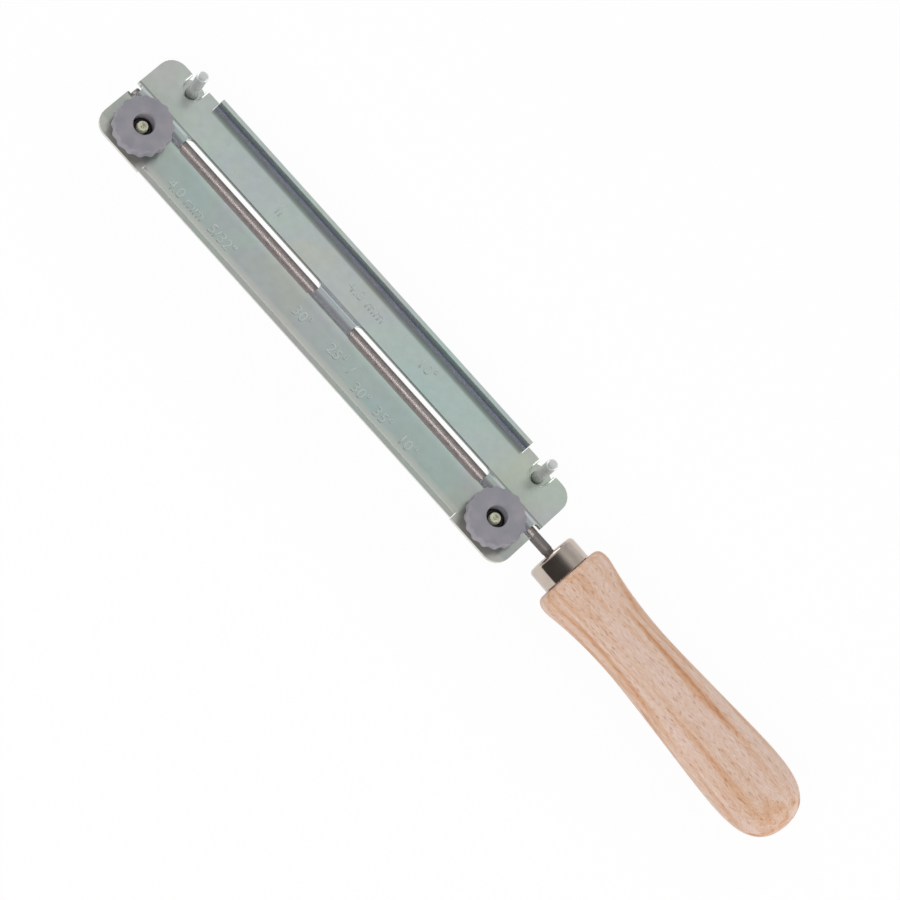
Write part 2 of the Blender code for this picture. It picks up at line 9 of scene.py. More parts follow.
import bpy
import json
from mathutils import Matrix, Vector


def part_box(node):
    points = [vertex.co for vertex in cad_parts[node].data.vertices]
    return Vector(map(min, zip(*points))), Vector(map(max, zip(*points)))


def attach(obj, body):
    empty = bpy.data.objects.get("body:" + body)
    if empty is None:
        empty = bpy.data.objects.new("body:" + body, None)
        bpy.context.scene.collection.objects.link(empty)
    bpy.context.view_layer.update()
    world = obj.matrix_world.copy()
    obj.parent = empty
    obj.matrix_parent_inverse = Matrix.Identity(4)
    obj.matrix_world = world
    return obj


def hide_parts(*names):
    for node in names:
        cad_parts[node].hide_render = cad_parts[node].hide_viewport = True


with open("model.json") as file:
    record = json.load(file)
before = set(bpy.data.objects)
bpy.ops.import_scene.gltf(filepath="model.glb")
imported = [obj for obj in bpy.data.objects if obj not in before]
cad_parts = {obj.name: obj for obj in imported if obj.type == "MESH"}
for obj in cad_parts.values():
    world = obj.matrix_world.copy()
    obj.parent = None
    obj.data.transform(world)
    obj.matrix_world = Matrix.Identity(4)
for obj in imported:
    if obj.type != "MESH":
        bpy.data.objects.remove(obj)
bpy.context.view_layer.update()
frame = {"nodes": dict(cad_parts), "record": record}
print("nodes:", sorted(frame["nodes"]))

import json
from math import atan2, cos, pi, radians, sin

import bmesh
import bpy
from mathutils import Matrix, Vector

MM = 0.001

# %% [markdown]
# ## The camera
#
# The tool is seen from a metre and a half away, from above and a little from the knobs' side. In the picture
# it runs from the upper left to the lower right, so the camera is also rolled.
# Three steps give the camera: two axes that lie level with the tool, a roll about the line of sight, and the
# lens that shows the wanted width at the wanted distance.

# %% Camera
view_tilt = radians(22.7)
view_swing = radians(-0.41)
view_roll = radians(48)
view_distance = 1496 * MM
view_width = 293 * MM
sensor_width = 36.0
aim_across = -3.58 * MM
aim_up = 3.74 * MM

level_right = Vector((cos(view_swing), -sin(view_tilt) * sin(view_swing), cos(view_tilt) * sin(view_swing)))
level_up = Vector((0, cos(view_tilt), sin(view_tilt)))
towards_camera = level_right.cross(level_up).normalized()
camera_right = cos(view_roll) * level_right + sin(view_roll) * level_up
camera_up = towards_camera.cross(camera_right)
aim = aim_across * level_right + aim_up * level_up

camera_data = bpy.data.cameras.new("camera")
camera_data.sensor_width = sensor_width
camera_data.lens = sensor_width * view_distance / view_width
camera_data.clip_start = 10 * MM
camera_data.clip_end = 50.0
camera = bpy.data.objects.new("camera", camera_data)
bpy.context.scene.collection.objects.link(camera)
camera.matrix_world = Matrix.Translation(aim + view_distance * towards_camera) @ Matrix(
    (camera_right, camera_up, towards_camera)
).transposed().to_4x4()
bpy.context.scene.camera = camera
bpy.context.scene.view_settings.view_transform = "Standard"
print("lens in mm:", round(camera_data.lens, 1), "height of sight line:", round(towards_camera.z, 3))

# %% [markdown]
# ## Two helpers for materials
#
# A colour is written as the hex value that a paint program shows, which is sRGB. Blender's shaders count in
# linear light, so one function turns the first into the second.
# The other function adds one node, sets it up and fills its sockets, either with a value or with a link.

# %% Colour and node helpers
def linear(hex_colour):
    """Linear red, green, blue and alpha of an sRGB hex colour."""
    channels = [int(hex_colour[start:start + 2], 16) / 255 for start in (0, 2, 4)]
    return [c / 12.92 if c <= 0.04045 else ((c + 0.055) / 1.055) ** 2.4 for c in channels] + [1.0]


def add_node(tree, kind, sockets=None, stops=None, **settings):
    """Adds a node to a tree, with its settings, its sockets' values or links, and a ramp's colour stops."""
    node = tree.nodes.new(kind)
    for name, value in settings.items():
        setattr(node, name, value)
    for name, value in (sockets or {}).items():
        if isinstance(value, bpy.types.NodeSocket):
            tree.links.new(value, node.inputs[name])
        else:
            node.inputs[name].default_value = value
    if stops:
        elements = node.color_ramp.elements
        while len(elements) < len(stops):
            elements.new(1.0)
        for element, (place, colour) in zip(elements, stops):
            element.position = place
            element.color = linear(colour)
    return node


# The sockets of a Mix node that mixes colours, which share their names with its other sockets
MIX_A = 6
MIX_B = 7
MIX_RESULT = 2

# %% [markdown]
# ## The stage
#
# Metal shows its surroundings more than its own colour, so the studio matters here. The polished ferrule is
# a mirror that shows what the real studio was like: a dark side behind the camera, a bright wall and ceiling
# beyond the guide pins, and bright walls to the left and right, which gleam in its rounded front edge. The
# sky is a ramp of greys from the dark side to the bright one, taken from that idea, with the two walls laid
# over it and a pale strip along the horizon as the background of low views.
# Two lamps, a key beyond the pins and a fill on the dark side, light wood and plastic. Metal doesn't show
# them, so that the ferrule keeps its dark band. Two low strip lamps at the ends of the tool give metal its
# small glints on rounded edges.
# A fifth lamp over the tool draws the pale line along the file, and would wash out the plate. Light linking
# keeps it off everything else: it lights only the pieces of one collection, which the file joins once made.
# The floor is a plain white one. Seen directly or in metal it glows, so that it stays white, and it keeps a
# small part of its own shading, so that the tool still drops a faint soft shadow.

# %% Sky
sky_stops = [
    (0.0, "4B4A49"), (0.2, "4D4C4B"), (0.38, "575655"), (0.5, "727274"),
    (0.6, "AAACAE"), (0.69, "D2D4D5"), (0.79, "CED0D1"), (0.88, "C6C8CA"), (1.0, "E4E6E8"),
]
sky_wall = "D2D4D6"
wall_start, wall_full = 0.4, 0.7
sky_horizon = "E8E8E6"
horizon_height_share = 0.05

world = bpy.data.worlds.new("studio sky")
bpy.context.scene.world = world
world.use_nodes = True
sky = world.node_tree
direction = add_node(sky, "ShaderNodeTexCoord").outputs["Generated"]
parts = add_node(sky, "ShaderNodeSeparateXYZ", {"Vector": direction}).outputs
side = add_node(
    sky, "ShaderNodeMapRange", {"Value": parts["Y"], "From Min": -1.0, "From Max": 1.0}
).outputs[0]
sky_colour = add_node(sky, "ShaderNodeValToRGB", {"Fac": side}, stops=sky_stops).outputs["Color"]
sideways = add_node(sky, "ShaderNodeMath", {0: parts["X"]}, operation="ABSOLUTE").outputs[0]
walls = add_node(
    sky, "ShaderNodeMapRange", {"Value": sideways, "From Min": wall_start, "From Max": wall_full}
).outputs[0]
sky_colour = add_node(
    sky, "ShaderNodeMix", {0: walls, MIX_A: sky_colour, MIX_B: linear(sky_wall)}, data_type="RGBA"
).outputs[MIX_RESULT]
low = add_node(
    sky, "ShaderNodeMapRange", {"Value": parts["Z"], "From Min": horizon_height_share, "From Max": 0.0}
).outputs[0]
sky_mix = add_node(
    sky, "ShaderNodeMix", {0: low, MIX_A: sky_colour, MIX_B: linear(sky_horizon)}, data_type="RGBA"
).outputs[MIX_RESULT]
sky.links.new(sky_mix, sky.nodes["Background"].inputs["Color"])
sky.nodes["Background"].inputs["Strength"].default_value = 1.0
print("sky:", len(sky.nodes), "nodes,", len(sky_stops), "greys")

# %% Lamps
def soft_box(name, direction, distance, size, watts, in_metal):
    """A rectangular area lamp, given by width and height, that looks at the tool from a direction."""
    data = bpy.data.lights.new(name, "AREA")
    data.shape = "RECTANGLE"
    data.size, data.size_y = size
    data.energy = watts
    lamp = bpy.data.objects.new(name, data)
    bpy.context.scene.collection.objects.link(lamp)
    lamp.location = Vector(direction).normalized() * distance
    lamp.rotation_euler = Vector(direction).to_track_quat("Z", "Y").to_euler()
    lamp.visible_glossy = in_metal
    print(f"{name}: {watts} W, {'seen' if in_metal else 'not seen'} in metal")
    return lamp


soft_box("key lamp", (-0.25, 0.95, 0.62), distance=1.3, size=(0.8, 0.8), watts=2.2, in_metal=False)
soft_box("fill lamp", (0.1, -0.75, 0.75), distance=1.3, size=(0.9, 0.9), watts=8.8, in_metal=False)
soft_box("left strip lamp", (-1.0, 0.12, 0.18), distance=1.2, size=(1.0, 0.35), watts=3.0, in_metal=True)
soft_box("right strip lamp", (1.0, 0.2, 0.18), distance=1.2, size=(1.0, 0.35), watts=3.0, in_metal=True)

# %% Lamp for the file alone
file_lamp = soft_box(
    "file lamp", (0, -0.34, 0.94), distance=1.3, size=(1.2, 0.4), watts=15.0, in_metal=True
)
file_light_group = bpy.data.collections.new("lit by the file lamp")
file_lamp.light_linking.receiver_collection = file_light_group

# %% Floor
floor_half = 6.0
floor_z = -0.05 * MM
floor_glow_share = 0.95

floor_maker = bmesh.new()
bmesh.ops.create_grid(floor_maker, x_segments=1, y_segments=1, size=floor_half)
floor_mesh = bpy.data.meshes.new("floor")
floor_maker.to_mesh(floor_mesh)
floor_maker.free()
floor = bpy.data.objects.new("floor", floor_mesh)
bpy.context.scene.collection.objects.link(floor)
floor.location.z = floor_z
print("floor:", [round(side, 1) for side in floor.dimensions], "m")

# %% Glowing white floor
floor_material = bpy.data.materials.new("white studio floor")
floor_material.use_nodes = True
tree = floor_material.node_tree
shader = tree.nodes["Principled BSDF"]
shader.inputs["Base Color"].default_value = linear("FFFFFF")
shader.inputs["Roughness"].default_value = 0.9
rays = add_node(tree, "ShaderNodeLightPath").outputs
seen = rays["Is Camera Ray"]
for kind in ("Is Glossy Ray", "Is Transmission Ray"):
    seen = add_node(tree, "ShaderNodeMath", {0: seen, 1: rays[kind]}, operation="MAXIMUM").outputs[0]
share = add_node(tree, "ShaderNodeMath", {0: seen, 1: floor_glow_share}, operation="MULTIPLY").outputs[0]
glow = add_node(tree, "ShaderNodeEmission", {"Color": linear("FFFFFF"), "Strength": 1.0}).outputs[0]
mixed = add_node(tree, "ShaderNodeMixShader", {0: share, 1: shader.outputs[0], 2: glow}).outputs[0]
tree.links.new(mixed, tree.nodes["Material Output"].inputs["Surface"])
floor_mesh.materials.append(floor_material)
print("floor material:", len(tree.nodes), "nodes")

# %% [markdown]
# ## Zinc-plated sheet steel
#
# The plate and the clamp bars are cold-rolled sheet, plated with zinc and passivated. The thin passivate
# gives a faint play of colours, from blue-green to mauve and warm grey, in soft patches a few centimetres
# wide, and the plating has a fine mottle. The film scatters some light, which a metallic value under 1 stands
# for. Its tint is made of two ramps, one along the plate and one over a slow noise, mixed half and half.

# %% Zinc film
patch_size = 30 * MM
mottle_size = 3 * MM
length_stops = [
    (0.0, "D9D7CA"), (0.1, "D6DDD3"), (0.2, "CFE0DA"), (0.45, "D7E1D9"),
    (0.7, "CDE0DB"), (0.84, "CDE0D8"), (0.9, "DBDCC5"), (1.0, "D4DACF"),
]
patch_stops = [(0.3, "CCE2DE"), (0.45, "D6E3D9"), (0.56, "D8DADE"), (0.68, "DEDCD0")]
mottle_stops = [(0.35, "F6F6F6"), (0.65, "FFFFFF")]


def metal(name, metallic=1.0):
    """A metal, and its tree, shader and object coordinates; a dull skin on it makes it less than metallic."""
    material = bpy.data.materials.new(name)
    material.use_nodes = True
    tree = material.node_tree
    shader = tree.nodes["Principled BSDF"]
    shader.inputs["Metallic"].default_value = metallic
    place = add_node(tree, "ShaderNodeTexCoord").outputs["Object"]
    return material, tree, shader, place


zinc_sheet, tree, shader, place = metal("zinc plated sheet, passivated", 0.8)
axes = add_node(tree, "ShaderNodeSeparateXYZ", {"Vector": place}).outputs
plate_low, plate_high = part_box("guide_plate")
along = add_node(
    tree, "ShaderNodeMapRange", {"Value": axes["X"], "From Min": plate_low.x, "From Max": plate_high.x}
).outputs[0]
length_tint = add_node(tree, "ShaderNodeValToRGB", {"Fac": along}, stops=length_stops).outputs["Color"]
patches = add_node(
    tree, "ShaderNodeTexNoise", {"Vector": place, "Scale": 1 / patch_size, "Detail": 2.5, "Distortion": 0.4}
).outputs["Fac"]
patch_tint = add_node(tree, "ShaderNodeValToRGB", {"Fac": patches}, stops=patch_stops).outputs["Color"]
tinted = add_node(
    tree, "ShaderNodeMix", {0: 0.5, MIX_A: length_tint, MIX_B: patch_tint}, data_type="RGBA"
).outputs[MIX_RESULT]
mottle = add_node(
    tree, "ShaderNodeTexNoise", {"Vector": place, "Scale": 1 / mottle_size, "Detail": 3.0}
).outputs["Fac"]
mottle_tint = add_node(tree, "ShaderNodeValToRGB", {"Fac": mottle}, stops=mottle_stops).outputs["Color"]
zinc_colour = add_node(
    tree,
    "ShaderNodeMix",
    {0: 1.0, MIX_A: tinted, MIX_B: mottle_tint},
    data_type="RGBA",
    blend_type="MULTIPLY",
).outputs[MIX_RESULT]
print("zinc film:", len(tree.nodes), "nodes over", round((plate_high.x - plate_low.x) / MM, 1), "mm")

# %% [markdown]
# ### Where the sheet was folded and pressed, and where light and shade are painted
#
# The film is a little thicker, and so more mauve, where the sheet was folded and pressed up, and blue grey a
# little further up. The two tints share one zone, faint on the rib and strong on the fold on the pins' side.
# The fold on the knobs' side is a pale neutral grey. Painted light makes the rib's side that faces the knobs
# paler. The flat half on the knobs' side is a shade darker. Painted shade draws a dark line along the foot of
# the rib on the pins' side, and a painted reflection of the dark fold above draws another along the fold's
# foot.

# %% Tint of the folds
rib_tint_share = 0.28
rib_tint_y = 8 * MM
fold_tint_share = 0.8
fold_tint_y = 12 * MM
mauve_z = 16.85 * MM
blue_grey_z = 17.15 * MM

folded_share = add_node(
    tree,
    "ShaderNodeMapRange",
    {
        "Value": axes["Y"],
        "From Min": rib_tint_y,
        "From Max": fold_tint_y,
        "To Min": rib_tint_share,
        "To Max": fold_tint_share,
    },
).outputs[0]
further_up = add_node(
    tree, "ShaderNodeMapRange", {"Value": axes["Z"], "From Min": mauve_z, "From Max": blue_grey_z}
).outputs[0]
folded_tint = add_node(
    tree, "ShaderNodeMix", {0: further_up, MIX_A: linear("D2D2F6"), MIX_B: linear("788898")}, data_type="RGBA"
).outputs[MIX_RESULT]
print("tint of the folds:", rib_tint_share, "on the rib to", fold_tint_share, "on the fold")

# %% [markdown]
# Each zone is a box with soft sides, given as a tint, its strongest share and a few ramps. A ramp runs along
# an axis, from the place in mm where there is none of the tint to the place where there is all of it. The
# ramps and the share are multiplied, and their product mixes the tint into the colour so far.

# %% Zones of the sheet
# Black, mixed in for the darker knobs' half and for the painted shade and reflection lines
shade = linear("000000")
zones = {
    "flat sheet on the knobs' side": (shade, 0.14, [("Y", -3.2, -5.5), ("Z", 16.8, 16.3)]),
    "rib and pins' side fold": (
        folded_tint,
        folded_share,
        [("Z", 16.25, 16.7), ("Z", 18.3, 17.4), ("Y", -8, -6)],
    ),
    "knobs' side fold": (linear("EAE4DA"), 0.45, [("Y", -13.8, -15)]),
    "painted light on the rib, knobs' side": (
        # Painted light: a pale tint that lightens the rib's side facing the knobs
        linear("F0EEFC"),
        0.8,
        [("Y", -0.3, -1.6), ("Z", 16.4, 16.8), ("Y", -6, -5)],
    ),
    # Painted shade: a dark line along the foot of the rib on the pins' side
    "painted shade at the foot of the rib, pins' side": (shade, 0.42, [("Y", 2.5, 2.85), ("Y", 3.55, 3.2), ("Z", 17.0, 16.7)]),
    # Painted reflection: a dark line where the sheet at the fold's foot mirrors the dark fold above it
    "painted reflection at the base of the fold on the pins' side": (
        shade,
        0.52,
        [("Y", 14.0, 15.0), ("Y", 16.2, 15.6), ("Z", 15.8, 16.0), ("X", -136.7, -136.2), ("X", 12.7, 12.2)],
    ),
}
for zone, (tint, share, ramps) in zones.items():
    for axis, none_at, full_at in ramps:
        reached = add_node(
            tree,
            "ShaderNodeMapRange",
            {"Value": axes[axis], "From Min": none_at * MM, "From Max": full_at * MM},
        ).outputs[0]
        share = add_node(tree, "ShaderNodeMath", {0: reached, 1: share}, operation="MULTIPLY").outputs[0]
    zinc_colour = add_node(
        tree, "ShaderNodeMix", {0: share, MIX_A: zinc_colour, MIX_B: tint}, data_type="RGBA"
    ).outputs[MIX_RESULT]
    print(f"{zone}: {len(ramps)} ramps")
tree.links.new(zinc_colour, shader.inputs["Base Color"])

# %% [markdown]
# The rolls leave very fine streaks along the sheet, which a noise stretched along X gives as a faint bump.
# The plating's mottle also varies the gloss a little.

# %% Gloss and rolling streaks of the sheet
streak_length = 9 * MM
streak_width = 0.35 * MM
streak_depth = 0.0015 * MM

zinc_roughness = add_node(
    tree,
    "ShaderNodeMapRange",
    {"Value": mottle, "From Min": 0.3, "From Max": 0.7, "To Min": 0.21, "To Max": 0.27},
).outputs[0]
tree.links.new(zinc_roughness, shader.inputs["Roughness"])
stretched = add_node(
    tree,
    "ShaderNodeMapping",
    {"Vector": place, "Scale": (1 / streak_length, 1 / streak_width, 1 / streak_width)},
).outputs[0]
streaks = add_node(
    tree, "ShaderNodeTexNoise", {"Vector": stretched, "Scale": 1.0, "Detail": 2.0}
).outputs["Fac"]
streak_bump = add_node(
    tree, "ShaderNodeBump", {"Height": streaks, "Strength": 0.3, "Distance": streak_depth}
).outputs[0]
tree.links.new(streak_bump, shader.inputs["Normal"])
print(f"{zinc_sheet.name}: {len(tree.nodes)} nodes")

# %% [markdown]
# ## Bright zinc, yellow zinc, nickel and file steel
#
# The guide pins are bright zinc, the screws carry a yellow passivate, the ferrule is polished nickel, and the
# file is hardened steel left brownish grey. Each is a metal whose own colour is even, so that the eye reads
# it from the tint of its reflections and from how sharp they are. A fine noise breaks the gloss a little.

# %% Plain metals
def plain_metal(name, colours, roughness, grain_size, bump, metallic=1.0):
    """A metal whose tint and gloss vary a little at the given grain."""
    material, tree, shader, place = metal(name, metallic)
    grain = add_node(
        tree, "ShaderNodeTexNoise", {"Vector": place, "Scale": 1 / grain_size, "Detail": 3.0}
    ).outputs["Fac"]
    stops = [(0.35, colours[0]), (0.65, colours[1])]
    tint = add_node(tree, "ShaderNodeValToRGB", {"Fac": grain}, stops=stops).outputs["Color"]
    tree.links.new(tint, shader.inputs["Base Color"])
    gloss = add_node(
        tree,
        "ShaderNodeMapRange",
        {
            "Value": grain,
            "From Min": 0.3,
            "From Max": 0.7,
            "To Min": 0.8 * roughness,
            "To Max": 1.2 * roughness,
        },
    ).outputs[0]
    tree.links.new(gloss, shader.inputs["Roughness"])
    relief = add_node(tree, "ShaderNodeBump", {"Height": grain, "Strength": 0.4, "Distance": bump}).outputs[0]
    tree.links.new(relief, shader.inputs["Normal"])
    print(f"{name}: roughness {roughness}, metallic {metallic}")
    return material


bright_zinc = plain_metal("satin bright zinc", ("DEDFDF", "E4E4E2"), 0.3, 4 * MM, 0.0001 * MM, 0.55)
dull_zinc = plain_metal("dark passivated zinc", ("3E3E3C", "4A4A46"), 0.4, 0.8 * MM, 0.004 * MM)
yellow_zinc = plain_metal("yellow passivated zinc", ("DDDBBC", "EFEDD4"), 0.26, 0.9 * MM, 0.002 * MM, 0.7)
rubbed_zinc = plain_metal(
    "rubbed zinc on raised marks", ("D0DAD6", "DAE2DE"), 0.3, 2 * MM, 0.001 * MM, 0.8
)
nickel = plain_metal("polished nickel plate", ("C0B2A8", "C8BBB0"), 0.1, 3 * MM, 0.0005 * MM)

# %% [markdown]
# The file's own steel is dull where the teeth are cut. The shank behind them isn't cut or ground, and the
# hardening bath has left it darker and duller still, so two values change where the shank starts.

# %% File steel
shank_x = 35.0 * MM
shank_blend = 0.2 * MM
cut_metallic = 0.75
shank_metallic = 0.1

file_steel = plain_metal(
    "hardened file steel", ("7C7472", "8A8280"), 0.48, 1.2 * MM, 0.002 * MM, cut_metallic
)
tree = file_steel.node_tree
shader = tree.nodes["Principled BSDF"]
place = add_node(tree, "ShaderNodeTexCoord").outputs["Object"]
along = add_node(tree, "ShaderNodeSeparateXYZ", {"Vector": place}).outputs["X"]
bare = add_node(
    tree,
    "ShaderNodeMapRange",
    {"Value": along, "From Min": shank_x - shank_blend, "From Max": shank_x + shank_blend},
).outputs[0]
cut_tint = shader.inputs["Base Color"].links[0].from_socket
steel_tint = add_node(
    tree, "ShaderNodeMix", {0: bare, MIX_A: cut_tint, MIX_B: linear("56504F")}, data_type="RGBA"
).outputs[MIX_RESULT]
tree.links.new(steel_tint, shader.inputs["Base Color"])
dulled = add_node(
    tree, "ShaderNodeMapRange", {"Value": bare, "To Min": cut_metallic, "To Max": shank_metallic}
).outputs[0]
tree.links.new(dulled, shader.inputs["Metallic"])
print(f"{file_steel.name}: {len(tree.nodes)} nodes, darker from x = {shank_x / MM:.0f} mm")

# %% [markdown]
# ## Moulded grey plastic
#
# The knobs are moulded in a matt grey plastic, most likely a glass-filled nylon, with a mauve cast. The mould
# is spark-eroded, so the skin has a fine grain that breaks up any gloss, and the colour is slightly cloudy.

# %% Moulded plastic
cloud_size = 5 * MM
spark_grain = 0.35 * MM
spark_depth = 0.03 * MM

knob_plastic = bpy.data.materials.new("glass filled nylon, spark eroded")
knob_plastic.use_nodes = True
tree = knob_plastic.node_tree
shader = tree.nodes["Principled BSDF"]
shader.inputs["IOR"].default_value = 1.53
place = add_node(tree, "ShaderNodeTexCoord").outputs["Object"]
clouds = add_node(
    tree, "ShaderNodeTexNoise", {"Vector": place, "Scale": 1 / cloud_size, "Detail": 4.0}
).outputs["Fac"]
cloud_stops = [(0.3, "8B8A92"), (0.5, "949198"), (0.7, "9D979C")]
cloud_tint = add_node(tree, "ShaderNodeValToRGB", {"Fac": clouds}, stops=cloud_stops).outputs["Color"]
tree.links.new(cloud_tint, shader.inputs["Base Color"])
grain = add_node(
    tree, "ShaderNodeTexNoise", {"Vector": place, "Scale": 1 / spark_grain, "Detail": 2.0}
).outputs["Fac"]
gloss = add_node(
    tree,
    "ShaderNodeMapRange",
    {"Value": grain, "From Min": 0.3, "From Max": 0.7, "To Min": 0.46, "To Max": 0.6},
).outputs[0]
tree.links.new(gloss, shader.inputs["Roughness"])
relief = add_node(
    tree, "ShaderNodeBump", {"Height": grain, "Strength": 0.6, "Distance": spark_depth}
).outputs[0]
tree.links.new(relief, shader.inputs["Normal"])
print(f"{knob_plastic.name}: {len(tree.nodes)} nodes")

# %% [markdown]
# ## Turned beech
#
# Beech is a pale pinkish wood. Turned along the grain it shows faint long bands, a few warm brown streaks and
# its mark of recognition: short dark flecks, the wood's rays cut across, a couple of millimetres long and a
# few tenths wide. Fine pores run the same way. All of it is stretched along the handle's own axis, and the
# bands lie at a small slant to it, as they do in a blank that wasn't sawn quite along the grain.

# %% Turned beech
band_length = 60 * MM
band_width = 4 * MM
grain_slant = radians(3)

beech = bpy.data.materials.new("turned beech, waxed")
beech.use_nodes = True
tree = beech.node_tree
shader = tree.nodes["Principled BSDF"]
shader.inputs["IOR"].default_value = 1.5
shader.inputs["Specular IOR Level"].default_value = 0.4
place = add_node(tree, "ShaderNodeTexCoord").outputs["Object"]
banded = add_node(
    tree,
    "ShaderNodeMapping",
    {
        "Vector": place,
        "Rotation": (0, 0, grain_slant),
        "Scale": (1 / band_length, 1 / band_width, 1 / band_width),
    },
).outputs[0]
bands = add_node(
    tree, "ShaderNodeTexNoise", {"Vector": banded, "Scale": 1.0, "Detail": 3.0, "Distortion": 0.6}
).outputs["Fac"]
band_stops = [(0.28, "CF9A74"), (0.38, "DFB798"), (0.5, "E7CBB9"), (0.62, "EBD4C7"), (0.75, "E4C9BC")]
band_tint = add_node(tree, "ShaderNodeValToRGB", {"Fac": bands}, stops=band_stops).outputs["Color"]
print(f"{beech.name}: bands of {band_length / MM:.0f} by {band_width / MM:.0f} mm")

# %% Flecks and pores of the beech
fleck_length = 2.6 * MM
fleck_width = 0.6 * MM
fleck_share = 0.62
pore_length = 2.4 * MM
pore_width = 0.2 * MM
pore_depth = 0.03 * MM
pore_share = 0.6

flecked = add_node(
    tree,
    "ShaderNodeMapping",
    {"Vector": place, "Scale": (1 / fleck_length, 1 / fleck_width, 1 / fleck_width)},
).outputs[0]
flecks = add_node(
    tree, "ShaderNodeTexNoise", {"Vector": flecked, "Scale": 1.0, "Detail": 1.0}
).outputs["Fac"]
fleck_stops = [(0.0, "FFFFFF"), (0.58, "FFFFFF"), (0.74, "D6AC8E")]
fleck_tint = add_node(tree, "ShaderNodeValToRGB", {"Fac": flecks}, stops=fleck_stops).outputs["Color"]
pored = add_node(
    tree, "ShaderNodeMapping", {"Vector": place, "Scale": (1 / pore_length, 1 / pore_width, 1 / pore_width)}
).outputs[0]
pores = add_node(tree, "ShaderNodeTexNoise", {"Vector": pored, "Scale": 1.0, "Detail": 1.0}).outputs["Fac"]
pore_stops = [(0.3, "FFFFFF"), (0.5, "F5EAE2"), (0.68, "DFC2AE")]
pore_tint = add_node(tree, "ShaderNodeValToRGB", {"Fac": pores}, stops=pore_stops).outputs["Color"]
wood = band_tint
for share, tint in ((fleck_share, fleck_tint), (pore_share, pore_tint)):
    wood = add_node(
        tree, "ShaderNodeMix", {0: share, MIX_A: wood, MIX_B: tint}, data_type="RGBA", blend_type="MULTIPLY"
    ).outputs[MIX_RESULT]
tree.links.new(wood, shader.inputs["Base Color"])
gloss = add_node(
    tree,
    "ShaderNodeMapRange",
    {"Value": bands, "From Min": 0.3, "From Max": 0.7, "To Min": 0.62, "To Max": 0.5},
).outputs[0]
tree.links.new(gloss, shader.inputs["Roughness"])
relief = add_node(
    tree, "ShaderNodeBump", {"Height": pores, "Strength": 0.5, "Distance": pore_depth}, invert=True
).outputs[0]
tree.links.new(relief, shader.inputs["Normal"])
print(f"{beech.name}: {len(tree.nodes)} nodes")

# %% [markdown]
# ## Helpers for the pieces
#
# Most pieces here are turned: a half outline is spun round an axis. The spin closes on itself, so its last
# ring is merged with the first, and the mesh's normals are then made to point outwards. The corners of an
# outline are rounded before it is spun, which costs less than a bevel of the finished piece.

# %% Helpers for turning
same_place = 0.002 * MM


def turned(profile, steps, axis="Z"):
    """A bmesh turned round X or Z from (along, radius) points; a profile off the axis is closed to a ring."""
    maker = bmesh.new()
    line = Vector((0, 0, 1)) if axis == "Z" else Vector((1, 0, 0))
    out = Vector((1, 0, 0)) if axis == "Z" else Vector((0, 0, 1))
    corners = [maker.verts.new(line * place + out * radius) for place, radius in profile]
    edges = [maker.edges.new(pair) for pair in zip(corners, corners[1:])]
    if profile[0][1] > 0:
        edges.append(maker.edges.new((corners[-1], corners[0])))
    bmesh.ops.spin(
        maker, geom=corners + edges, cent=(0, 0, 0), axis=line, angle=2 * pi, steps=steps, use_merge=True
    )
    bmesh.ops.remove_doubles(maker, verts=maker.verts, dist=same_place)
    bmesh.ops.recalc_face_normals(maker, faces=maker.faces)
    return maker


def rounded(points, radii, steps=4):
    """An outline of (along, radius) points whose corners are rounded; a radius of zero keeps the corner."""
    outline = []
    for index, (point, radius) in enumerate(zip(points, radii)):
        if radius == 0:
            outline.append(point)
            continue
        here = Vector(point)
        before = (Vector(points[index - 1]) - here).normalized()
        after = (Vector(points[(index + 1) % len(points)]) - here).normalized()
        half = before.angle(after) / 2
        reach = radius / sin(half) * cos(half)
        centre = here + (before + after).normalized() * radius / sin(half)
        start = here + before * reach - centre
        end = here + after * reach - centre
        for step in range(steps + 1):
            spoke = start.lerp(end, step / steps).normalized() * radius
            outline.append(tuple(centre + spoke))
    return outline


def turned_mm(corners, radii, round_steps, turn_steps):
    """A bmesh turned round Z from the corners of an outline and their rounding radii, all in mm."""
    points = [(place * MM, radius * MM) for place, radius in corners]
    return turned(rounded(points, [radius * MM for radius in radii], round_steps), turn_steps)


# %% [markdown]
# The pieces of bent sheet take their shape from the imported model. Its meshes are loose triangles, so a copy
# is merged and dissolved into whole faces first, and only then are its edges rounded by a bevel.
# A finished piece takes its material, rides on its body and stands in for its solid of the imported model.

# %% Helpers for sheet pieces and for finishing a piece
def merged_copy(node):
    """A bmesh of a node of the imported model, whose loose triangles are joined into plain faces."""
    maker = bmesh.new()
    maker.from_mesh(frame["nodes"][node].data)
    bmesh.ops.remove_doubles(maker, verts=maker.verts, dist=15 * same_place)
    bmesh.ops.dissolve_limit(
        maker, angle_limit=radians(0.3), verts=maker.verts, edges=maker.edges, use_dissolve_boundaries=False
    )
    return maker


def break_edges(maker, width, sharper_than, segments=2, where=None):
    """Rounds every edge that turns by more than the given angle, all or those of a region."""
    sharp = [edge for edge in maker.edges if edge.is_manifold and edge.calc_face_angle() > sharper_than]
    if where:
        sharp = [edge for edge in sharp if all(where(corner.co) for corner in edge.verts)]
    bmesh.ops.bevel(
        maker,
        geom=sharp,
        offset=width,
        offset_type="OFFSET",
        segments=segments,
        profile=0.5,
        affect="EDGES",
        material=-1,
        clamp_overlap=True,
    )


